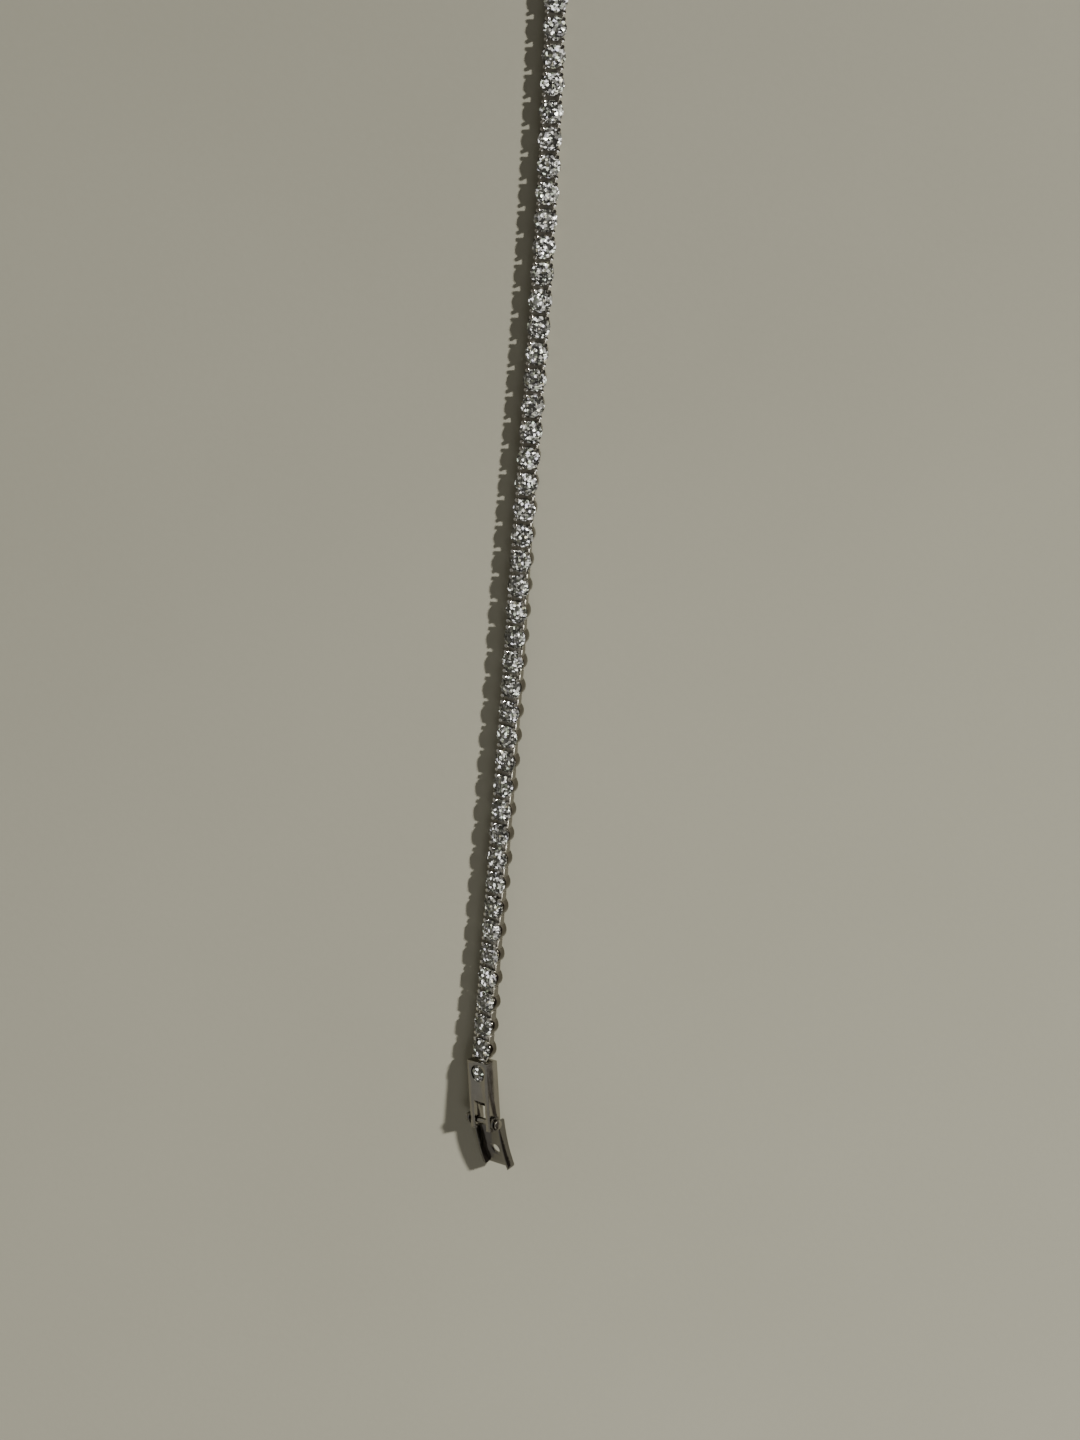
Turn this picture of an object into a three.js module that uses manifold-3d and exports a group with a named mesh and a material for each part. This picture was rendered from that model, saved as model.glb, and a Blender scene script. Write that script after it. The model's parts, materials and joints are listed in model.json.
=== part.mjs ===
// A tennis bracelet, open and laid out straight on a flat surface: a row of hinged baskets that each
// hold a round stone, a box clasp with a fold-over lever at one end and a plain tongue at the other.
// Millimetres and degrees, Z up. The row runs along Y, with the clasp at its low end.

import * as THREE from 'three';
import { mergeVertices } from 'three/addons/utils/BufferGeometryUtils.js';
import Module from 'manifold-3d';

const wasm = await Module();
wasm.setup();

// Driving dimensions: the row of baskets
const linkPitch = 3.2;
const rowLength = 166.4;
const stoneDiameter = 2.75;
const stoneTableDiameter = 1.58;
const crownHeight = 0.42;
const pavilionDepth = 1.12;
const stoneSides = 8;
const girdleHeight = 1.5;
const wallAcross = 2.6;
const wallThickness = 0.35;
const wallHeight = 1.2;
const prongWidth = 0.5;
const prongGap = 0.04;
const prongOverGirdle = 0.26;
const barWidth = 0.9;
const barHeight = 0.5;
const barTop = 0.65;
const hingeHeight = 0.5;
const bite = 0.15;

// Driving dimensions: the clasp
const boxLength = 8.9;
const boxWidth = 3.3;
const boxThickness = 1.85;
const boxRise = 0.6;
const boxWall = 0.42;
const boxFace = 0.5;
const lugHeight = 0.5;
const windowLength = 3.7;
const windowWidth = 1.9;
const faceStoneDiameter = 1.9;
const faceStoneFromEnd = 1.5;
const faceStoneSink = 0.1;
const pinDiameter = 0.7;
const pinHeadDiameter = 1.2;
const pinHeadThickness = 0.22;
const pinFromBoxEnd = 1.05;
const pinBelowFace = 0.6;
const leverWall = 0.35;
const leverLength = 7.0;
const leverArmDepth = 0.75;
const leverHingeRadius = 0.75;
const leverBow = 0.25;
const leverBowSteps = 6;
const leverWebStart = 1.5;
const leverHoleDiameter = 1.3;
const leverHoleFromPin = 4.6;
const leverTipRadius = 0.6;
const roundSides = 14;

// Driving dimensions: the tongue
const tongueLength = 7;
const tongueWidth = 1.8;
const tongueThickness = 0.9;
const tongueTipBevel = 0.4;

// Clearances
const restGap = 0.15;
const swingGap = 0.2;

// The row is made in two equal runs of whole baskets.
const linksInEachHalf = Math.round(rowLength / linkPitch / 2);

// How the bracelet lies. Headings turn from +Y towards +X, a roll lifts the +X edge, and a lift raises
// the hinge line above where a basket of that roll would rest.
const route = [
  { share: 0.00, heading: 4.4, roll: 41, lift: 0.18 },
  { share: 0.06, heading: 4.4, roll: 37, lift: 0.00 },
  { share: 0.31, heading: 4.0, roll: 26, lift: 0.00 },
  { share: 0.35, heading: 3.2, roll: 23, lift: 0.00 },
  { share: 0.43, heading: 3.6, roll: 12, lift: 0.00 },
  { share: 0.49, heading: 4.1, roll: 5, lift: 0.00 },
  { share: 0.62, heading: 3.4, roll: 1, lift: 0.00 },
  { share: 0.80, heading: 1.9, roll: 0, lift: 0.00 },
  { share: 1.00, heading: 1.9, roll: 0, lift: 0.00 },
];
const boxHeading = -8.5;
const boxRoll = 43;
const boxPitchUp = 8;
const leverPastStraight = 12;

const metalFinish = { color: 0xc8c9c6, roughness: 0.16, metalness: 1 };
const stoneFinish = { color: 0xeef3f1, roughness: 0.04, metalness: 0.1 };

const radians = THREE.MathUtils.degToRad;

// A closed solid from a three.js geometry.
function solid(geometry) {
  const bare = geometry.clone();
  bare.deleteAttribute('normal');
  bare.deleteAttribute('uv');
  const merged = mergeVertices(bare, 1e-4);
  const vertProperties = new Float32Array(merged.attributes.position.array);
  const triVerts = new Uint32Array(merged.index.array);
  return new wasm.Manifold(new wasm.Mesh({ numProp: 3, vertProperties, triVerts }));
}

// The geometry of a joined or cut solid.
function shapeOf(joined) {
  const mesh = joined.getMesh();
  const geometry = new THREE.BufferGeometry();
  geometry.setAttribute('position', new THREE.Float32BufferAttribute(mesh.vertProperties, 3));
  geometry.setIndex(new THREE.Uint32BufferAttribute(mesh.triVerts, 1));
  geometry.computeVertexNormals();
  return geometry;
}

function join(parts) {
  return parts.slice(1).reduce((whole, part) => whole.add(part), parts[0]);
}

function named(name, geometry, finish) {
  const mesh = new THREE.Mesh(geometry, new THREE.MeshStandardMaterial(finish));
  mesh.name = name;
  return mesh;
}

// A block between two corners.
function block(low, high) {
  const size = high.map((value, axis) => value - low[axis]);
  const middle = high.map((value, axis) => (value + low[axis]) / 2);
  return new THREE.BoxGeometry(...size).translate(...middle);
}

// A profile of [radius, height] pairs turned about the Z axis.
function turned(profile, sides) {
  const points = profile.map(([radius, height]) => new THREE.Vector2(radius, height));
  return new THREE.LatheGeometry(points, sides).rotateX(Math.PI / 2);
}

// A round bar along X, from one side of the clasp to the other.
function crossBar(diameter, length) {
  return new THREE.CylinderGeometry(diameter / 2, diameter / 2, length, roundSides).rotateZ(Math.PI / 2);
}

// An outline in the Y-Z plane, given width along X and centred on it.
function plate(outline, width) {
  const geometry = new THREE.ExtrudeGeometry(outline, { depth: width, bevelEnabled: false });
  return geometry.translate(0, 0, -width / 2).rotateY(Math.PI / 2).rotateX(Math.PI / 2);
}

// Radii are given to the flats, and a flat is this share of the way out to a corner.
const flatShare = Math.cos(Math.PI / stoneSides);

// A round cut stone: culet, girdle, crown and table, with flats towards X and Y.
function cutStone(diameter, tableDiameter, crown, pavilion, girdleZ) {
  const profile = [
    [0, girdleZ - pavilion],
    [diameter / 2 / flatShare, girdleZ],
    [tableDiameter / 2 / flatShare, girdleZ + crown],
    [0, girdleZ + crown],
  ];
  return turned(profile, stoneSides).rotateZ(Math.PI / stoneSides);
}

// The closed wall of a basket, which the stone sits in.
function basketWall() {
  const outer = wallAcross / 2 / flatShare;
  const inner = (wallAcross / 2 - wallThickness) / flatShare;
  const profile = [[outer, 0], [outer, wallHeight], [inner, wallHeight], [inner, 0], [outer, 0]];
  return turned(profile, stoneSides).rotateZ(Math.PI / stoneSides);
}

// One prong, a three-sided claw from the wall up and out past the edge of the stone. Its flat side
// faces the stone and its ridge faces away from it.
function prong(sideX, sideY) {
  const outward = Math.atan2(sideY, sideX);
  const section = new THREE.Shape([0, 1, 2].map((corner) => {
    const angle = outward + corner * 2 * Math.PI / 3;
    return new THREE.Vector2(Math.cos(angle), Math.sin(angle)).multiplyScalar(prongWidth / 2);
  }));
  const foot = wallHeight - bite;
  const rise = girdleHeight - foot;
  const start = (wallAcross - wallThickness) / 2 * Math.SQRT1_2;
  const edge = (stoneDiameter / 2 + prongGap + prongWidth / 4) * Math.SQRT1_2;
  const lean = new THREE.Matrix4().set(
    1, 0, sideX * (edge - start), sideX * start,
    0, 1, sideY * (edge - start), sideY * start,
    0, 0, rise, foot,
    0, 0, 0, 1,
  );
  const depth = 1 + prongOverGirdle / rise;
  return new THREE.ExtrudeGeometry(section, { depth, bevelEnabled: false }).applyMatrix4(lean);
}

// The bar that carries the point of the stone and the hinge to the next basket along the row.
function hingeBar(reach) {
  const low = [-barWidth / 2, (wallThickness - wallAcross) / 2, barTop - barHeight];
  return block(low, [barWidth / 2, reach, barTop]);
}

// A basket with its stone, standing on its own base.
function basket() {
  const stone = cutStone(stoneDiameter, stoneTableDiameter, crownHeight, pavilionDepth, girdleHeight);
  const prongs = [[1, 1], [1, -1], [-1, 1], [-1, -1]].map(([x, y]) => solid(prong(x, y)));
  return join([solid(basketWall()), ...prongs]).add(solid(stone));
}

function routeAt(share) {
  const last = route.findIndex((row) => row.share >= share);
  const after = route[Math.max(last, 1)];
  const before = route[Math.max(last, 1) - 1];
  const part = (share - before.share) / (after.share - before.share);
  const mix = (name) => THREE.MathUtils.lerp(before[name], after[name], part);
  return { heading: mix('heading'), roll: mix('roll'), lift: mix('lift') };
}

// Places along the row, from the clasp on. Each basket is turned about the hinge line, which lies as
// high as lets the low edge of its wall touch the surface.
function layOutRow(count) {
  const places = [];
  const middle = new THREE.Vector3();
  for (let number = 0; number < count; number += 1) {
    const { heading, roll, lift } = routeAt(number / (count - 1));
    const tilt = radians(roll);
    const along = new THREE.Vector3(Math.sin(radians(heading)), Math.cos(radians(heading)), 0);
    middle.addScaledVector(along, linkPitch / 2);
    const height = hingeHeight * Math.cos(tilt) + wallAcross / 2 * Math.sin(tilt) + lift;
    const matrix = new THREE.Matrix4().makeRotationZ(-radians(heading));
    matrix.multiply(new THREE.Matrix4().makeRotationY(-tilt));
    matrix.multiply(new THREE.Matrix4().makeTranslation(0, 0, -hingeHeight));
    matrix.premultiply(new THREE.Matrix4().makeTranslation(middle.x, middle.y, height));
    places.push({ matrix, height });
    middle.addScaledVector(along, linkPitch / 2);
  }
  return { places, end: middle, heading: routeAt(1).heading };
}

// A run of baskets, hinged to each other. The last bar stops short of the piece after it.
function run(places) {
  const basketShape = shapeOf(basket());
  const toNext = linkPitch - (wallAcross - wallThickness) / 2;
  const shortOfNext = linkPitch - wallAcross / 2 - restGap;
  const parts = places.flatMap(({ matrix }, number) => {
    const reach = number < places.length - 1 ? toNext : shortOfNext;
    const bar = hingeBar(reach).applyMatrix4(matrix);
    return [solid(basketShape.clone().applyMatrix4(matrix)), solid(bar)];
  });
  return shapeOf(join(parts));
}

// The clasp's box: a face with a sunk stone and a window, two side walls and a back.
function claspBox() {
  const half = boxThickness / 2;
  const inside = boxWidth / 2 - boxWall;
  const cavityStart = -(faceStoneFromEnd + faceStoneDiameter / 2 + boxWall);
  const shell = solid(block([-boxWidth / 2, -boxLength, -half], [boxWidth / 2, 0, half]));
  const openEnd = -boxLength - bite;
  const cavity = solid(block([-inside, openEnd, -half + boxWall], [inside, cavityStart, half - boxFace]));
  const windowEnd = -boxLength + windowLength;
  const window = solid(block([-windowWidth / 2, openEnd, 0], [windowWidth / 2, windowEnd, half + bite]));
  const backEnd = -boxLength + pinFromBoxEnd + leverWebStart;
  const backSlot = solid(block([-inside, openEnd, -half - bite], [inside, backEnd, 0]));
  const seat = solid(turned([
    [0, half - faceStoneSink - pavilionShare(faceStoneDiameter) - restGap],
    [faceStoneDiameter / 2 + restGap, half - faceStoneSink - restGap],
    [faceStoneDiameter / 2 + restGap, half + bite],
    [0, half + bite],
  ], roundSides).translate(0, -faceStoneFromEnd, 0));
  const bore = solid(crossBar(pinDiameter + 2 * restGap, boxWidth + 2 * bite)
    .translate(0, -boxLength + pinFromBoxEnd, half - pinBelowFace));
  const lugReach = (linkPitch - wallAcross) / 2 - restGap;
  const lugLow = [-barWidth / 2, -bite, -boxRise - lugHeight / 2];
  const lug = solid(block(lugLow, [barWidth / 2, lugReach, lugHeight / 2 - boxRise]));
  const openings = join([cavity, window, backSlot, seat, bore]);
  return shapeOf(shell.subtract(openings).add(lug));
}

// A smaller stone keeps the proportions of the row's stones.
function pavilionShare(diameter) {
  return pavilionDepth * diameter / stoneDiameter;
}

function claspStone() {
  const scale = faceStoneDiameter / stoneDiameter;
  const girdleZ = boxThickness / 2 - faceStoneSink;
  const stone = cutStone(faceStoneDiameter, stoneTableDiameter * scale, crownHeight * scale,
    pavilionShare(faceStoneDiameter), girdleZ);
  return stone.translate(0, -faceStoneFromEnd, 0);
}

// The lever in line with the box, its pin at the origin and its tip towards -Y.
const leverInside = boxWidth + 2 * swingGap;
const leverWidth = leverInside + 2 * leverWall;
const webTop = -(pinBelowFace + swingGap + leverBow);
const webBottom = webTop - leverWall;

function bowAt(reach) {
  const share = reach / leverLength;
  return 4 * leverBow * share * (1 - share);
}

// The curved band between two heights, from one reach to another.
function leverBand(from, low, high) {
  const stepLength = (leverLength - from) / leverBowSteps;
  const reaches = Array.from({ length: leverBowSteps + 1 }, (_, step) => from + stepLength * step);
  const outline = new THREE.Shape();
  outline.moveTo(-from, low + bowAt(from));
  reaches.slice(1).forEach((reach) => outline.lineTo(-reach, low + bowAt(reach)));
  [...reaches].reverse().forEach((reach) => outline.lineTo(-reach, high + bowAt(reach)));
  return outline;
}

// The lever's outline from above, with its tip corners rounded, as tall as the lever.
function leverPlan() {
  const half = leverWidth / 2;
  const outline = new THREE.Shape();
  outline.moveTo(half, leverHingeRadius);
  outline.lineTo(-half, leverHingeRadius);
  outline.lineTo(-half, leverTipRadius - leverLength);
  outline.quadraticCurveTo(-half, -leverLength, leverTipRadius - half, -leverLength);
  outline.lineTo(half - leverTipRadius, -leverLength);
  outline.quadraticCurveTo(half, -leverLength, half, leverTipRadius - leverLength);
  const height = 2 * (leverWall - webBottom);
  const options = { depth: height, bevelEnabled: false, curveSegments: 3 };
  return new THREE.ExtrudeGeometry(outline, options).translate(0, 0, -height / 2);
}

function lever() {
  const web = solid(plate(leverBand(leverWebStart, webBottom, webTop), leverWidth));
  const arms = [-1, 1].flatMap((side) => {
    const offset = side * (leverInside + leverWall) / 2;
    const arm = plate(leverBand(0, webBottom, webTop + leverArmDepth), leverWall);
    const knuckle = crossBar(2 * leverHingeRadius, leverWall);
    return [solid(arm.translate(offset, 0, 0)), solid(knuckle.translate(offset, 0, 0))];
  });
  const holeRadius = leverHoleDiameter / 2;
  const hole = solid(turned([
    [0, webBottom - leverWall], [holeRadius, webBottom - leverWall],
    [holeRadius, 0], [0, 0],
  ], roundSides).translate(0, -leverHoleFromPin, 0));
  const bore = solid(crossBar(pinDiameter + 2 * restGap, leverWidth + 2 * bite));
  return shapeOf(join([web, ...arms]).intersect(solid(leverPlan())).subtract(hole).subtract(bore));
}

// The riveted pin, with a flat head outside each arm.
function leverPin() {
  const half = leverWidth / 2 + restGap;
  const outer = half + pinHeadThickness;
  const profile = [
    [0, -outer], [pinHeadDiameter / 2, -outer], [pinHeadDiameter / 2, -half], [pinDiameter / 2, -half],
    [pinDiameter / 2, half], [pinHeadDiameter / 2, half], [pinHeadDiameter / 2, outer], [0, outer],
  ];
  return turned(profile, roundSides).rotateY(Math.PI / 2);
}

// The plain tongue that enters the box, with its tip bevelled in plan.
function endTongue() {
  const half = tongueWidth / 2;
  const start = (linkPitch - wallAcross) / 2;
  const outline = new THREE.Shape();
  outline.moveTo(-half, 0);
  outline.lineTo(half, 0);
  outline.lineTo(half, tongueLength - tongueTipBevel);
  outline.lineTo(half - tongueTipBevel, tongueLength);
  outline.lineTo(-half + tongueTipBevel, tongueLength);
  outline.lineTo(-half, tongueLength - tongueTipBevel);
  outline.closePath();
  const options = { depth: tongueThickness, bevelEnabled: false };
  return new THREE.ExtrudeGeometry(outline, options).translate(0, start, 0);
}

// The clasp is hinged to the near end of the row, turned and pitched up so that its lever props it.
function claspGroup(nearHeight) {
  const group = new THREE.Group();
  group.rotation.order = 'ZYX';
  group.rotation.set(-radians(boxPitchUp), -radians(boxRoll), -radians(boxHeading));
  group.position.set(0, 0, nearHeight);
  const box = named('clasp_box', claspBox(), metalFinish);
  const stone = named('clasp_stone', claspStone(), stoneFinish);
  const hinge = new THREE.Group();
  hinge.position.set(0, -boxLength + pinFromBoxEnd, boxThickness / 2 - pinBelowFace);
  const arm = named('clasp_lever', lever(), metalFinish);
  arm.rotation.x = radians(leverPastStraight);
  hinge.add(arm, named('lever_pin', leverPin(), metalFinish));
  const raised = new THREE.Group();
  raised.position.set(0, 0, boxRise);
  raised.add(box, stone, hinge);
  group.add(raised);
  return group;
}

const bracelet = new THREE.Group();
const row = layOutRow(2 * linksInEachHalf);
bracelet.add(named('row_near_clasp', run(row.places.slice(0, linksInEachHalf)), metalFinish));
bracelet.add(named('row_far_end', run(row.places.slice(linksInEachHalf)), metalFinish));
bracelet.add(claspGroup(row.places[0].height));
const tongue = named('end_tongue', endTongue(), metalFinish);
tongue.position.set(row.end.x, row.end.y, 0);
tongue.rotation.z = -radians(row.heading);
bracelet.add(tongue);

// The origin is the middle of the bracelet's outline, on the surface that it lies on.
bracelet.updateMatrixWorld(true);
const outlineBox = new THREE.Box3().setFromObject(bracelet, true);
const centre = outlineBox.getCenter(new THREE.Vector3());
bracelet.position.set(-centre.x, -centre.y, 0);

export default bracelet;
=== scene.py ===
# %% [markdown]
# A tennis bracelet, laid open on a pale surface. The real one is a row of small metal
# baskets, each holding a round brilliant, hinged to the next, with a box clasp at one end.
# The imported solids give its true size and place, so this lesson only dresses them: the same
# baskets with rounded metal and fully cut stones, a bevelled clasp, then a floor, a light
# and a camera.

import json
import math

import bmesh
import bpy
from mathutils import Matrix, Vector


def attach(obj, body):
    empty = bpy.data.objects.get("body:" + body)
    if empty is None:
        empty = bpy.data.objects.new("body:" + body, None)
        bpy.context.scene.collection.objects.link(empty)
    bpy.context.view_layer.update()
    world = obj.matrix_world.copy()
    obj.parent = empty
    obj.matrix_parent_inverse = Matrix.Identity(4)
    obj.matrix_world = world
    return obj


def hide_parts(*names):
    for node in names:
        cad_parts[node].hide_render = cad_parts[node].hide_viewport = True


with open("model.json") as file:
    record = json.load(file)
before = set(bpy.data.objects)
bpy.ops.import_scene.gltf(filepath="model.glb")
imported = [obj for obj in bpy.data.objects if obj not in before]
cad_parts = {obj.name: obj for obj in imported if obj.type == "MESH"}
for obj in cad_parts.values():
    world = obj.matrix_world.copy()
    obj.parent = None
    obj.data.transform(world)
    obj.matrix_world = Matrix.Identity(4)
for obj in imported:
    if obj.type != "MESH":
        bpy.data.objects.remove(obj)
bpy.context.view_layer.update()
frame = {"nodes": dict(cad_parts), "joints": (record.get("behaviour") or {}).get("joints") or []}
MM = 0.001

# %% [markdown]
# The baskets could be placed one by one, but a line bracelet is regular: a fixed pitch and a
# lay that changes slowly. So the places are worked out from the same pitch and table of
# headings and rolls that shaped the solids, and pinned to the lever's hinge, whose place the
# frame gives.

# %% Sizes, in millimetres
LINK_PITCH = 3.2
LINKS = 52
LINKS_NEAR = 26
STONE_DIAMETER = 2.75
TABLE_DIAMETER = 1.58
CROWN_HEIGHT = 0.42
PAVILION_DEPTH = 1.12
GIRDLE_HEIGHT = 1.5
WALL_ACROSS = 2.6
WALL_THICKNESS = 0.35
WALL_HEIGHT = 1.2
WALL_EDGE = 0.1
PRONG_WIDTH = 0.56
PRONG_SPOT = 52  # degrees from straight across the row
PRONG_PAST_EDGE = 0.14
PRONG_OVER_GIRDLE = 0.26
PRONG_IN_WALL = 0.15
PRONG_TIP_ROOM = 0.08
BAR_WIDTH = 1.9
BAR_HEIGHT = 1.0
BAR_TOP = 1.2
BAR_EDGE = 0.08
HINGE_HEIGHT = 0.5
REST_GAP = 0.15

BOX_LENGTH = 8.9
BOX_THICKNESS = 1.85
BOX_RISE = 0.6
PIN_FROM_BOX_END = 1.05
PIN_BELOW_FACE = 0.6
FACE_STONE_DIAMETER = 1.9
FACE_STONE_FROM_END = 1.5
FACE_STONE_SINK = 0.1

BOX_HEADING, BOX_ROLL, BOX_PITCH_UP = -8.5, 43, 8
ROUTE = (  # share of the row, heading, roll, lift
    (0.00, 4.4, 41, 0.18),
    (0.06, 4.4, 37, 0.00),
    (0.31, 4.0, 26, 0.00),
    (0.35, 3.2, 23, 0.00),
    (0.43, 3.6, 12, 0.00),
    (0.49, 4.1, 5, 0.00),
    (0.62, 3.4, 1, 0.00),
    (0.80, 1.9, 0, 0.00),
    (1.00, 1.9, 0, 0.00),
)
print("row", round(LINKS * LINK_PITCH, 1), "mm long")

# %% Places of the baskets and of the clasp
def route_at(share):
    last = max(1, next(i for i, row in enumerate(ROUTE) if row[0] >= share))
    before, after = ROUTE[last - 1], ROUTE[last]
    part = (share - before[0]) / (after[0] - before[0])
    return [a + (b - a) * part for a, b in zip(before[1:], after[1:])]


def turn(degrees, axis):
    return Matrix.Rotation(math.radians(degrees), 4, axis)


def lay_out_row():
    places, middle = [], Vector((0, 0, 0))
    for number in range(LINKS):
        heading, roll, lift = route_at(number / (LINKS - 1))
        along = turn(-heading, "Z") @ Vector((0, LINK_PITCH / 2, 0))
        middle = middle + along
        tilt = math.radians(roll)
        height = HINGE_HEIGHT * math.cos(tilt) + WALL_ACROSS / 2 * math.sin(tilt) + lift
        place = (Matrix.Translation((middle.x, middle.y, height))
                 @ turn(-heading, "Z") @ turn(-roll, "Y"))
        places.append(place @ Matrix.Translation((0, 0, -HINGE_HEIGHT)))
        middle = middle + along
    return places


row_places = lay_out_row()
first_height = (row_places[0] @ Vector((0, 0, HINGE_HEIGHT))).z
clasp_place = (Matrix.Translation((0, 0, first_height)) @ turn(-BOX_HEADING, "Z")
               @ turn(-BOX_ROLL, "Y") @ turn(-BOX_PITCH_UP, "X")
               @ Matrix.Translation((0, 0, BOX_RISE)))
pin_local = Vector((0, -BOX_LENGTH + PIN_FROM_BOX_END, BOX_THICKNESS / 2 - PIN_BELOW_FACE))
hinge = frame["joints"][0]
shift = Vector(hinge["pos_m"]) / MM - clasp_place @ pin_local
to_row = Matrix.Translation(shift)
row_places = [to_row @ place for place in row_places]
clasp_place = to_row @ clasp_place
print("first basket", [round(v, 3) for v in row_places[0].translation],
      "shift", [round(v, 3) for v in shift])

# %% [markdown]
# Every finish here is a node tree. A tree is easier to read as sums, so a small class wraps a
# socket and turns + and * into Math nodes, and a second class adds any other node.

# %% Classes for finishes
class Wire:
    def __init__(self, tree, socket):
        self.tree, self.socket = tree, socket

    def math(self, operation, other):
        node = self.tree.nodes.new("ShaderNodeMath")
        node.operation = operation
        self.tree.links.new(self.socket, node.inputs[0])
        if isinstance(other, Wire):
            self.tree.links.new(other.socket, node.inputs[1])
        else:
            node.inputs[1].default_value = other
        return Wire(self.tree, node.outputs[0])

    def __add__(self, other):
        return self.math("ADD", other)

    def __mul__(self, other):
        return self.math("MULTIPLY", other)


def set_stops(ramp, stops):
    while len(ramp.elements) < len(stops):
        ramp.elements.new(0.5)
    for element, (place, color) in zip(ramp.elements, stops):
        element.position, element.color = place, (*color, 1)


class Finish:
    def __init__(self, name, **constants):
        self.material = bpy.data.materials.new(name)
        self.material.use_nodes = True
        self.tree = self.material.node_tree
        self.surface = self.tree.nodes["Principled BSDF"]
        for socket, value in constants.items():
            self.surface.inputs[socket.replace("_", " ")].default_value = value

    def node(self, kind, settings=None, output=0, **inputs):
        made = self.tree.nodes.new(kind)
        for key, value in (settings or {}).items():
            setattr(made, key, value)
        for key, value in inputs.items():
            slot = made.inputs[int(key[1:]) if key[1:].isdigit() else key.replace("_", " ")]
            if isinstance(value, Wire):
                self.tree.links.new(value.socket, slot)
            else:
                slot.default_value = value
        return Wire(self.tree, made.outputs[output])

    def ramp(self, label, value, *stops):
        made = self.node("ShaderNodeValToRGB", {"label": label}, Fac=value)
        set_stops(made.socket.node.color_ramp, stops)
        return made

    def noise(self, per_metre, detail):
        return self.node("ShaderNodeTexNoise", Vector=self.place(per_metre), Scale=1.0,
                         Detail=detail)

    def place(self, scale=1.0):
        spot = self.node("ShaderNodeTexCoord", output=3)
        return self.node("ShaderNodeMapping", Vector=spot, Scale=(scale,) * 3)

    def feed(self, **wires):
        for socket, wire in wires.items():
            self.tree.links.new(wire.socket, self.surface.inputs[socket.replace("_", " ")])
        return self.material


# %% [markdown]
# The metal is a polished white alloy. Polish hides most marks, but at arm's length it still
# shows soft waves from the wheel and a finer grain, so the roughness and a slight bump vary.

# %% Polished white metal
WAVES_PER_METRE, WAVE_DETAIL = 900, 4.0
GRAIN_PER_METRE, GRAIN_DETAIL = 5200.0, 2.0
WAVE_ROUGHNESS, GRAIN_ROUGHNESS = 0.16, 0.06
GRAIN_IN_BUMP, BUMP_STRENGTH = 0.3, 0.25
DARK_SHARE = 0.90


def polished_metal(name, shade, wave_mm, dullness=0.0):
    finish = Finish(name, Metallic=1.0)
    waves = finish.noise(WAVES_PER_METRE, WAVE_DETAIL)
    grain = finish.node("ShaderNodeTexNoise", Vector=finish.place(), Scale=GRAIN_PER_METRE,
                        Detail=GRAIN_DETAIL)
    tint = finish.ramp("tint", waves, (0.30, [v * DARK_SHARE for v in shade]), (0.70, shade))
    bump = finish.node("ShaderNodeBump", Strength=BUMP_STRENGTH, Distance=wave_mm * MM,
                       Height=waves + grain * GRAIN_IN_BUMP)
    roughness = waves * WAVE_ROUGHNESS + grain * GRAIN_ROUGHNESS + dullness
    return finish.feed(Base_Color=tint, Roughness=roughness, Normal=bump)


# Painted shade: the basket walls' metal is made far darker than the prongs', as the shade inside
# the open baskets.
basket_shade_metal = polished_metal("basket_metal_painted_shade", (0.17, 0.155, 0.13), 0.04)
# Painted shade: the hinge bars' metal is darker than the prongs', as the shade between the
# baskets. It is also duller, a satin finish.
bar_shade_metal = polished_metal("bar_metal_painted_shade", (0.32, 0.305, 0.265), 0.03, dullness=0.26)
prong_metal = polished_metal("prong_white_metal", (0.60, 0.585, 0.55), 0.03)
# Painted shade: the clasp box's metal, also used for the pin and the tongue, is made darker than
# the prongs' to give its faces a darker tone.
box_shade_metal = polished_metal("clasp_box_metal_painted_shade", (0.36, 0.34, 0.30), 0.06, dullness=0.10)
# Painted shade: the lever's metal is made nearly as dark as the walls', as the shade that the
# open lever lies in.
lever_shade_metal = polished_metal("lever_metal_painted_shade", (0.20, 0.19, 0.175), 0.06)
print("metals", basket_shade_metal.name, bar_shade_metal.name, prong_metal.name, box_shade_metal.name,
      lever_shade_metal.name)

# %% [markdown]
# A cut stone shows light and dark patches much smaller than its facets, because each facet
# sees many others through the stone. Real refraction could give them, but is slow and noisy
# at this size. Here small cells of the surface each lean their own way, so they catch the light
# one by one as the stone or the eye moves, and each has a painted tone, from near black to
# white, that stands for the light and dark reflected inside the stone, tinted with painted fire.
# Fewer than one cell in ten glows a little: a painted glint of the lamp, as if it came back up
# through the stone.

# %% Cut stone
STONE_CELL = 0.26
GLINT_STRENGTH = 1.6
CELLS = {"distance": "MANHATTAN", "feature": "F1"}
MULTIPLY = {"data_type": "RGBA", "blend_type": "MULTIPLY"}


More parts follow.
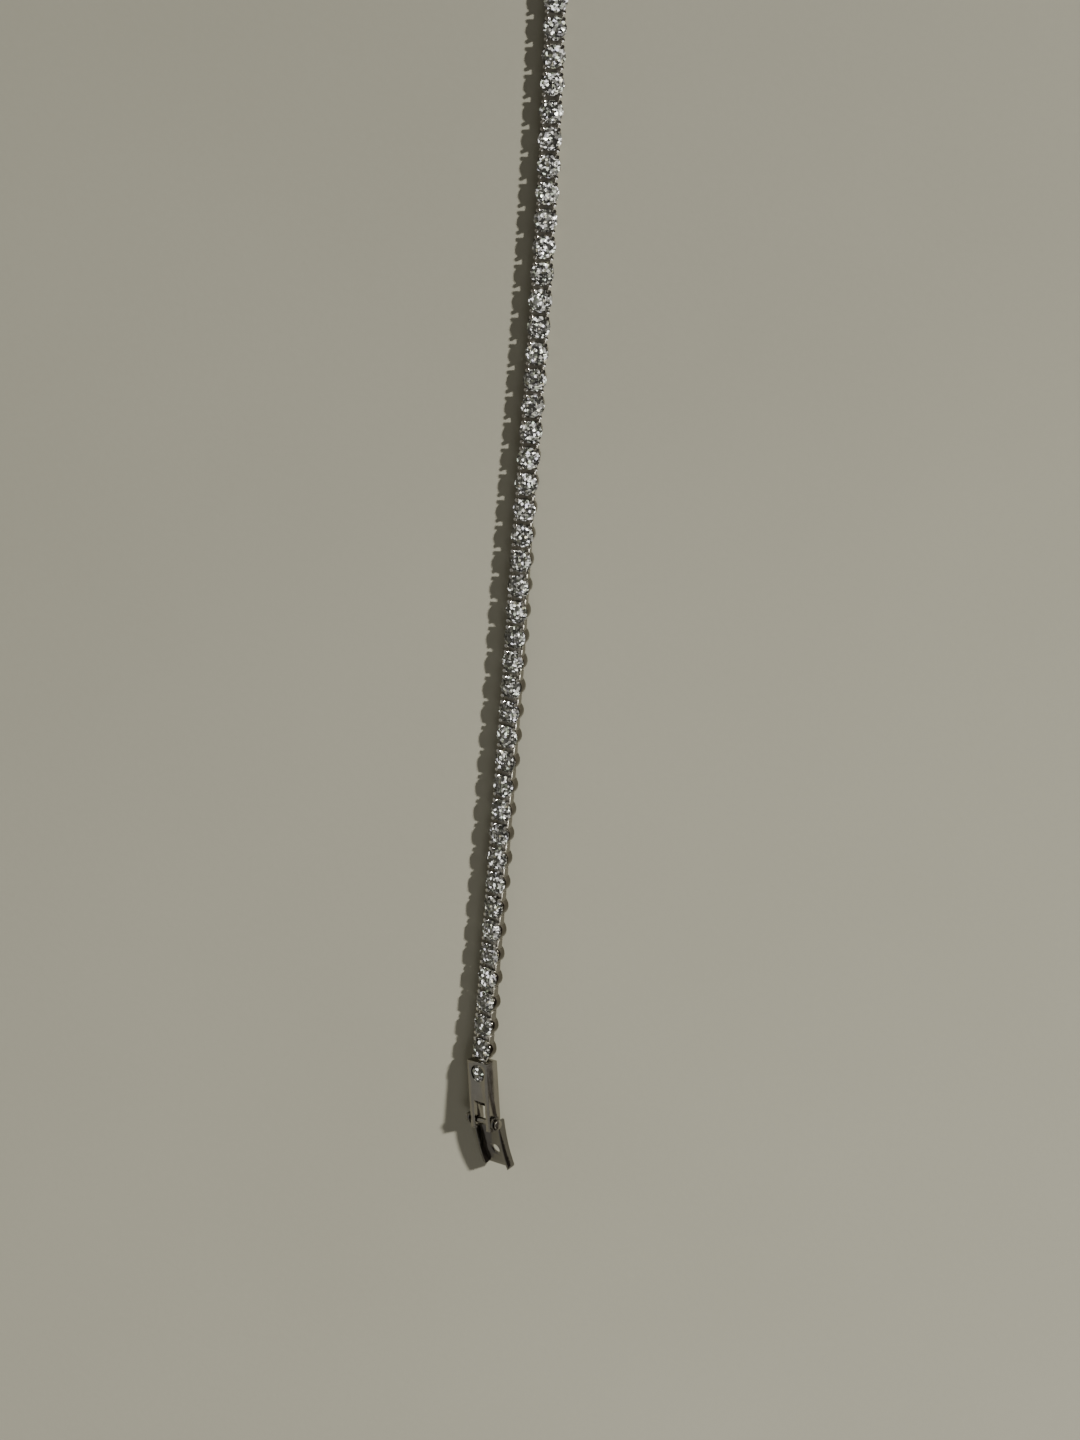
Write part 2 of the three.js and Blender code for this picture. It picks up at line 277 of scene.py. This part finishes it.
def cut_stone(name, lean):
    finish = Finish(name, Metallic=0.25, Roughness=0.32, IOR=2.42,
                    Emission_Strength=GLINT_STRENGTH)
    spot = finish.place(1 / (STONE_CELL * MM))
    toss = finish.node("ShaderNodeTexVoronoi", CELLS, output=1, Vector=spot, Scale=1.0,
                       Randomness=1.0)
    tone, hue, chance = [finish.node("ShaderNodeSeparateColor", output=channel, Color=toss)
                         for channel in range(3)]
    # Painted reflections: each cell's tone stands for the light and dark seen inside the stone,
    # and the next ramp tints it with painted fire.
    colour = finish.ramp(
        "depth of tone", tone,
        (0.00, (0.012, 0.012, 0.010)), (0.34, (0.05, 0.05, 0.044)),
        (0.50, (0.15, 0.15, 0.135)), (0.70, (0.25, 0.252, 0.23)),
        (0.84, (0.62, 0.622, 0.57)), (1.0, (1.0, 1.0, 0.95)))
    painted_fire = finish.ramp(
        "painted_fire", hue,
        (0.0, (0.86, 0.84, 1.0)), (0.35, (1.0, 1.0, 1.0)), (0.72, (1.0, 1.0, 1.0)),
        (0.86, (0.86, 1.0, 0.84)), (1.0, (1.0, 0.93, 0.72)))
    # Painted glint: these few cells glow through Emission, standing for the lamp's light coming
    # back out of the stone.
    glint = finish.ramp("glint", chance, (0.91, (0, 0, 0)), (0.94, (1.0, 1.0, 0.96)))
    painted_reflection_colour = finish.node("ShaderNodeMix", MULTIPLY, output=2, _0=1.0, _6=colour, _7=painted_fire)
    painted_glint_colour = finish.node("ShaderNodeMix", MULTIPLY, output=2, _0=1.0, _6=glint, _7=painted_fire)
    offset = finish.node("ShaderNodeVectorMath", {"operation": "SUBTRACT"}, _0=toss,
                         _1=(0.5, 0.5, 0.5))
    pushed = finish.node("ShaderNodeVectorMath", {"operation": "SCALE"}, _0=offset,
                         Scale=lean)
    normal = finish.node("ShaderNodeNewGeometry", output=1)
    leaning = finish.node("ShaderNodeVectorMath", {"operation": "ADD"}, _0=normal,
                          _1=pushed)
    final = finish.node("ShaderNodeVectorMath", {"operation": "NORMALIZE"}, _0=leaning)
    return finish.feed(Base_Color=painted_reflection_colour, Emission_Color=painted_glint_colour, Normal=final)


row_stone = cut_stone("row_brilliant", 1.3)
face_stone = cut_stone("clasp_brilliant", 1.2)
print("stones", row_stone.name, face_stone.name)

# %% [markdown]
# One stone, one basket. A round brilliant has an eight-sided table, a ring of kites and stars,
# a thin girdle and a pointed underside. Its corners lie on a few circles, so circles are drawn
# at the right heights and wrapped in a convex hull, which finds the flat facets by itself.

# %% A round brilliant
KITE_RADIUS, KITE_HEIGHT = 0.81, 0.56  # shares of the radius and of the crown's height
LOWER_RADIUS, LOWER_DEPTH = 0.28, 0.77  # shares of the radius and of the depth
POINT_RADIUS = 0.02  # share of the radius
HALF_GIRDLE = 0.02


def circle(bm, corners, radius, height, part_turn=0.0):
    place = Matrix.Translation((0, 0, height)) @ turn(part_turn * 360 / corners, "Z")
    bmesh.ops.create_circle(bm, segments=corners, radius=radius, matrix=place)


def brilliant(diameter, girdle_height):
    scale = diameter / STONE_DIAMETER
    radius, crown = diameter / 2, CROWN_HEIGHT * scale
    depth = PAVILION_DEPTH * scale
    bm = bmesh.new()
    circle(bm, 8, TABLE_DIAMETER / 2 * scale, girdle_height + crown)
    circle(bm, 8, radius * KITE_RADIUS, girdle_height + crown * KITE_HEIGHT, 0.5)
    circle(bm, 16, radius, girdle_height + HALF_GIRDLE * scale, 0.5)
    circle(bm, 16, radius, girdle_height - HALF_GIRDLE * scale, 0.5)
    circle(bm, 8, radius * LOWER_RADIUS, girdle_height - depth * LOWER_DEPTH, 0.5)
    circle(bm, 8, radius * POINT_RADIUS, girdle_height - depth)
    hull = bmesh.ops.convex_hull(bm, input=bm.verts[:])
    spare = {v for v in hull["geom_interior"] + hull["geom_unused"]
             if isinstance(v, bmesh.types.BMVert)}
    bmesh.ops.delete(bm, geom=[v for v in spare if v.is_valid], context="VERTS")
    join_flat_faces(bm, 1.0)
    return bm


def join_flat_faces(bm, degrees):
    bmesh.ops.dissolve_limit(bm, angle_limit=math.radians(degrees), verts=bm.verts[:],
                             edges=bm.edges[:])


def bevel(bm, edges, offset, segments, **options):
    bmesh.ops.bevel(bm, geom=edges, offset=offset, offset_type="OFFSET", segments=segments,
                    profile=0.5, affect="EDGES", material=-1, **options)


def report(title, bm):
    print(title, len(bm.verts), "points", len(bm.faces), "faces")


stone_bm = brilliant(STONE_DIAMETER, GIRDLE_HEIGHT)
report("brilliant", stone_bm)

# %% [markdown]
# The basket is a short round cup without a floor. A narrow upright rectangle is spun once
# round the axis and its edges are bevelled, as a polisher would leave them.

# %% Basket wall
def basket_wall():
    bm = bmesh.new()
    middle = (WALL_ACROSS - WALL_THICKNESS) / 2
    section = bmesh.ops.create_grid(bm, x_segments=1, y_segments=1, size=0.5)
    shape = (Matrix.Translation((middle, 0, WALL_HEIGHT / 2)) @ turn(90, "X")
             @ Matrix.Diagonal((WALL_THICKNESS, WALL_HEIGHT, 1, 1)))
    bmesh.ops.transform(bm, matrix=shape, verts=section["verts"])
    bmesh.ops.delete(bm, geom=bm.faces[:], context="FACES_ONLY")
    bmesh.ops.spin(bm, geom=bm.edges[:], cent=(0, 0, 0), axis=(0, 0, 1), angle=math.tau,
                   steps=20, use_merge=True)
    bmesh.ops.remove_doubles(bm, verts=bm.verts[:], dist=1e-4)
    bmesh.ops.recalc_face_normals(bm, faces=bm.faces[:])
    corners = [e for e in bm.edges if e.calc_face_angle(0) > math.radians(60)]
    bevel(bm, corners, WALL_EDGE, 2)
    return bm


wall_bm = basket_wall()
report("wall", wall_bm)

# %% [markdown]
# Four prongs rise from the wall, lean out past the stone's edge, and have narrowed tips that
# close over it. Each is a tapered cone sheared into place, with one more step at its top that
# leans in.

# %% Prongs
PRONG_TOP_SHARE = 0.45  # top radius as a share of the width; the foot's is a half
TIP_RISE, TIP_LEAN, TIP_NARROWS = 0.12, 0.17, 0.62


def prong(side_x, side_y):
    bm = bmesh.new()
    foot = WALL_HEIGHT - PRONG_IN_WALL
    top = GIRDLE_HEIGHT + PRONG_OVER_GIRDLE - PRONG_TIP_ROOM
    spot = math.radians(PRONG_SPOT)
    outward = Vector((side_x * math.cos(spot), side_y * math.sin(spot), 0))
    low = outward * (WALL_ACROSS - WALL_THICKNESS) / 2 + Vector((0, 0, foot))
    high = outward * (STONE_DIAMETER / 2 + PRONG_PAST_EDGE) + Vector((0, 0, top))
    bmesh.ops.create_cone(bm, cap_ends=True, segments=8, radius1=PRONG_WIDTH * 0.5,
                          radius2=PRONG_WIDTH * PRONG_TOP_SHARE, depth=1,
                          matrix=Matrix.Translation((0, 0, 0.5)))
    cap = max(bm.faces, key=lambda f: f.calc_center_median().z)
    tip = bmesh.ops.extrude_discrete_faces(bm, faces=[cap])["faces"][0]
    inward = -TIP_LEAN * outward
    bmesh.ops.translate(bm, vec=inward + Vector((0, 0, TIP_RISE)), verts=tip.verts[:])
    bmesh.ops.scale(bm, vec=(TIP_NARROWS, TIP_NARROWS, 1), verts=tip.verts[:],
                    space=Matrix.Translation(-tip.calc_center_median()))
    lean = Matrix(((1, 0, high.x - low.x, low.x), (0, 1, high.y - low.y, low.y),
                   (0, 0, high.z - low.z, low.z), (0, 0, 0, 1)))
    bmesh.ops.transform(bm, matrix=lean, verts=bm.verts[:])
    bmesh.ops.recalc_face_normals(bm, faces=bm.faces[:])
    return bm


report("prong", prong(1, 1))

# %% [markdown]
# From each basket a stout bar reaches to the next one, where the hinge would be. Its top is
# level with the wall's, because in the picture the baskets' shadows nearly run together.

# %% Hinge bar
def hinge_bar(reach):
    bm = bmesh.new()
    start = (WALL_THICKNESS - WALL_ACROSS) / 2
    place = (Matrix.Translation((0, (start + reach) / 2, BAR_TOP - BAR_HEIGHT / 2))
             @ Matrix.Diagonal((BAR_WIDTH, reach - start, BAR_HEIGHT, 1)))
    bmesh.ops.create_cube(bm, size=1, matrix=place)
    bevel(bm, bm.edges[:], BAR_EDGE, 1)
    return bm


report("bar", hinge_bar(LINK_PITCH))

# %% [markdown]
# One mesh holds many baskets: a part is copied into it at each place. The mesh then gets its
# material and the body that it moves with, and the solid that it stands for is hidden.

# %% Helpers that gather parts into one piece
def gather(target, part, place):
    spare = bpy.data.meshes.new("spare")
    part.to_mesh(spare)
    spare.transform(place)
    target.from_mesh(spare)
    bpy.data.meshes.remove(spare)


def piece(name, bm, material, body, nodes=(), smooth_below=0):
    bmesh.ops.scale(bm, vec=(MM,) * 3, verts=bm.verts[:])
    mesh = bpy.data.meshes.new(name)
    bm.to_mesh(mesh)
    if smooth_below:
        mesh.shade_smooth()
        mesh.set_sharp_from_angle(angle=math.radians(smooth_below))
    made = bpy.data.objects.new(name, mesh)
    bpy.context.scene.collection.objects.link(made)
    mesh.materials.append(material)
    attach(made, body)
    if nodes:
        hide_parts(*nodes)
    report(name, bm)
    bm.free()


# %% [markdown]
# A run of baskets is one solid in the frame. Here it is four pieces, as its parts shine
# differently: the walls, whose metal is painted dark as the shade inside the open baskets, the
# satin hinge bars in a lighter painted shade, the bright prongs, and the stones. The same parts
# are stamped at each place. Only the stones are turned, each on from the last, because nobody
# sets them all alike.

# %% The two runs
STONE_TURN = 37


def run(name, places):
    walls, bars, prongs, stones = bmesh.new(), bmesh.new(), bmesh.new(), bmesh.new()
    four = [prong(x, y) for x in (1, -1) for y in (1, -1)]
    to_next = LINK_PITCH - (WALL_ACROSS - WALL_THICKNESS) / 2
    short_of_next = LINK_PITCH - WALL_ACROSS / 2 - REST_GAP
    for number, place in enumerate(places):
        gather(walls, wall_bm, place)
        for part in four:
            gather(prongs, part, place)
        is_last = number == len(places) - 1
        gather(bars, hinge_bar(short_of_next if is_last else to_next), place)
        gather(stones, stone_bm, place @ turn(STONE_TURN * number, "Z"))
    piece(name + "_baskets", walls, basket_shade_metal, "bracelet", [name], smooth_below=40)
    piece(name + "_hinge_bars", bars, bar_shade_metal, "bracelet", smooth_below=40)
    piece(name + "_prongs", prongs, prong_metal, "bracelet", smooth_below=40)
    piece(name + "_stones", stones, row_stone, "bracelet")


run("row_near_clasp", row_places[:LINKS_NEAR])
run("row_far_end", row_places[LINKS_NEAR:])

# %% Clasp stone
clasp_stone = bmesh.new()
gather(clasp_stone, brilliant(FACE_STONE_DIAMETER, BOX_THICKNESS / 2 - FACE_STONE_SINK),
       clasp_place @ Matrix.Translation((0, -FACE_STONE_FROM_END, 0)))
piece("clasp_brilliant_stone", clasp_stone, face_stone, "bracelet",
      ["clasp_stone"])

# %% [markdown]
# The clasp's parts have the right shape already, but real metal has no sharp corners: a
# rounded edge is what catches the light. So a copy of each solid is merged, its flat faces
# are joined up, and every edge that turns sharply is bevelled.

# %% Clasp with rounded edges
def rounded(node, name, body, radius, metal):
    bm = bmesh.new()
    bm.from_mesh(frame["nodes"][node].data)
    bmesh.ops.remove_doubles(bm, verts=bm.verts[:], dist=1e-6)
    bmesh.ops.scale(bm, vec=(1 / MM,) * 3, verts=bm.verts[:])
    join_flat_faces(bm, 0.5)
    sharp = [e for e in bm.edges
             if e.is_manifold and e.calc_face_angle(0) > math.radians(40)]
    bevel(bm, sharp, radius, 2, clamp_overlap=True)
    piece(name, bm, metal, body, [node], smooth_below=35)


rounded("clasp_box", "clasp_box_polished", "bracelet", 0.12, box_shade_metal)
rounded("clasp_lever", "clasp_lever_polished", "lever", 0.07, lever_shade_metal)
rounded("lever_pin", "lever_pin_polished", "bracelet", 0.05, box_shade_metal)
rounded("end_tongue", "end_tongue_polished", "bracelet", 0.08, box_shade_metal)

# %% [markdown]
# The surface is a plain matt board. It is one large plane with a faint mottle, enough to keep
# it from looking like flat paint. Over the part that the camera sees, a falloff of light is
# painted into its colour: darker towards the far end, and darker on the left than on the right.

# %% Surface
# Painted light: the board's colour is scaled between these tones, darker towards the far end and
# on the left.
NEAR_END, FAR_END = -130 * MM, 50 * MM  # where the change of tone starts and ends
NEAR_PAINTED_LIGHT, FAR_PAINTED_LIGHT = 1.135, 0.905
HALF_ACROSS = 70 * MM
LEFT_PAINTED_LIGHT, RIGHT_PAINTED_LIGHT = 0.965, 1.035
MOTTLE_PER_METRE, MOTTLE_SHARE = 14, 0.8
TOOTH_PER_METRE, TOOTH_SHARE, TOOTH_DEPTH = 1200, 0.2, 0.1 * MM
BOARD_HALF_SIZE = 1.5


def matt_board():
    finish = Finish("matt_board", Roughness=0.75)
    mottle = finish.noise(MOTTLE_PER_METRE, 5.0)
    tooth = finish.noise(TOOTH_PER_METRE, 3.0)
    colour = finish.ramp("board", mottle * MOTTLE_SHARE + tooth * TOOTH_SHARE,
                         (0.30, (0.375, 0.364, 0.290)), (0.70, (0.405, 0.394, 0.316)))
    across, along = [finish.node("ShaderNodeSeparateXYZ", output=axis, Vector=finish.place())
                     for axis in range(2)]
    # Painted light falloff, along the board and across it.
    painted_falloff_along = finish.node("ShaderNodeMapRange", Value=along, From_Min=NEAR_END,
                             From_Max=FAR_END, To_Min=NEAR_PAINTED_LIGHT, To_Max=FAR_PAINTED_LIGHT)
    painted_falloff_across = finish.node("ShaderNodeMapRange", Value=across, From_Min=-HALF_ACROSS,
                              From_Max=HALF_ACROSS, To_Min=LEFT_PAINTED_LIGHT, To_Max=RIGHT_PAINTED_LIGHT)
    painted_light_colour = finish.node("ShaderNodeVectorMath", {"operation": "SCALE"}, _0=colour,
                         Scale=painted_falloff_along * painted_falloff_across)
    bump = finish.node("ShaderNodeBump", Strength=0.12, Distance=TOOTH_DEPTH, Height=tooth)
    return finish.feed(Base_Color=painted_light_colour, Normal=bump)


floor_bm = bmesh.new()
bmesh.ops.create_grid(floor_bm, x_segments=1, y_segments=1, size=BOARD_HALF_SIZE)
floor_mesh = bpy.data.meshes.new("surface")
floor_bm.to_mesh(floor_mesh)
floor_bm.free()
surface = bpy.data.objects.new("surface", floor_mesh)
floor_mesh.materials.append(matt_board())
bpy.context.scene.collection.objects.link(surface)
print("board", 2 * BOARD_HALF_SIZE, "m wide")

# %% [markdown]
# The picture has one small bright light on the right and dim light all round: crisp dark
# shadows lie to the left. A small round lamp stands in for it, and a faint second one beyond
# the clasp's end gives the metal something to show. Both stand round the point that the camera
# aims at, which is found from where the first basket lies in the picture.

# %% Light
FIRST_FROM_AIM = Vector((-6.57, -42.9))
first_middle = row_places[0] @ Vector((0, 0, HINGE_HEIGHT))
aim = Vector((first_middle.x - FIRST_FROM_AIM.x, first_middle.y - FIRST_FROM_AIM.y, 0)) * MM


def lamp(name, place_mm, size_mm, watts, color):
    data = bpy.data.lights.new(name, "AREA")
    data.shape = "DISK"
    data.size = size_mm * MM
    data.energy = watts
    data.color = color
    lamp_object = bpy.data.objects.new(name, data)
    lamp_object.location = aim + Vector(place_mm) * MM
    lamp_object.rotation_euler = Vector(place_mm).to_track_quat("Z", "Y").to_euler()
    bpy.context.scene.collection.objects.link(lamp_object)


KEY_AWAY, KEY_AZIMUTH, KEY_HEIGHT = 2400, math.radians(22), math.radians(35.5)
key_place = Vector((math.cos(KEY_AZIMUTH) * math.cos(KEY_HEIGHT),
                    math.sin(KEY_AZIMUTH) * math.cos(KEY_HEIGHT),
                    math.sin(KEY_HEIGHT))) * KEY_AWAY
lamp("key", key_place, size_mm=130, watts=77.0, color=(1.0, 0.985, 0.94))
lamp("low_fill", (120, -420, 420), size_mm=300, watts=0.45, color=(0.98, 0.98, 0.96))
print("key at", [round(v) for v in key_place])

# %% [markdown]
# Polished metal shows the room. A room that is lighter on the left and dark overhead and on
# the right gives its faces different tones, as in the picture, and fills the shadows faintly.

# %% Room
world = bpy.data.worlds.new("room")
world.use_nodes = True
room = world.node_tree
spot = room.nodes.new("ShaderNodeTexCoord")
parts = room.nodes.new("ShaderNodeSeparateXYZ")
room.links.new(spot.outputs["Generated"], parts.inputs[0])
from_left = Wire(room, parts.outputs[0]) * 0.5 + 0.5
ramp = room.nodes.new("ShaderNodeValToRGB")
set_stops(ramp.color_ramp, (
    (0.0, (0.34, 0.34, 0.33)), (0.22, (0.25, 0.235, 0.20)), (0.42, (0.13, 0.12, 0.10)),
    (0.6, (0.05, 0.047, 0.04)), (1.0, (0.07, 0.06, 0.05))))
room.links.new(from_left.socket, ramp.inputs[0])
room.links.new(ramp.outputs[0], room.nodes["Background"].inputs["Color"])
room.nodes["Background"].inputs["Strength"].default_value = 1.0
bpy.context.scene.world = world
print("room", len(room.nodes), "nodes")

# %% [markdown]
# The picture is taken from nearly overhead. The camera stands 23 degrees off the vertical, on
# the tongue's side, and its lens gives the baskets their size in the picture.

# %% Camera
CAMERA_TILT = 23
CAMERA_AWAY = 574.4
LENS = 120.4

camera_data = bpy.data.cameras.new("camera")
camera_data.lens = LENS
camera_data.clip_start, camera_data.clip_end = 0.01, 10
camera = bpy.data.objects.new("camera", camera_data)
lean_back = math.radians(CAMERA_TILT)
toward_camera = Vector((0, math.sin(lean_back), math.cos(lean_back)))
camera.location = aim + toward_camera * CAMERA_AWAY * MM
camera.rotation_euler = (-lean_back, 0, 0)
bpy.context.scene.collection.objects.link(camera)
bpy.context.scene.camera = camera
print("aim", [round(v / MM, 2) for v in aim])
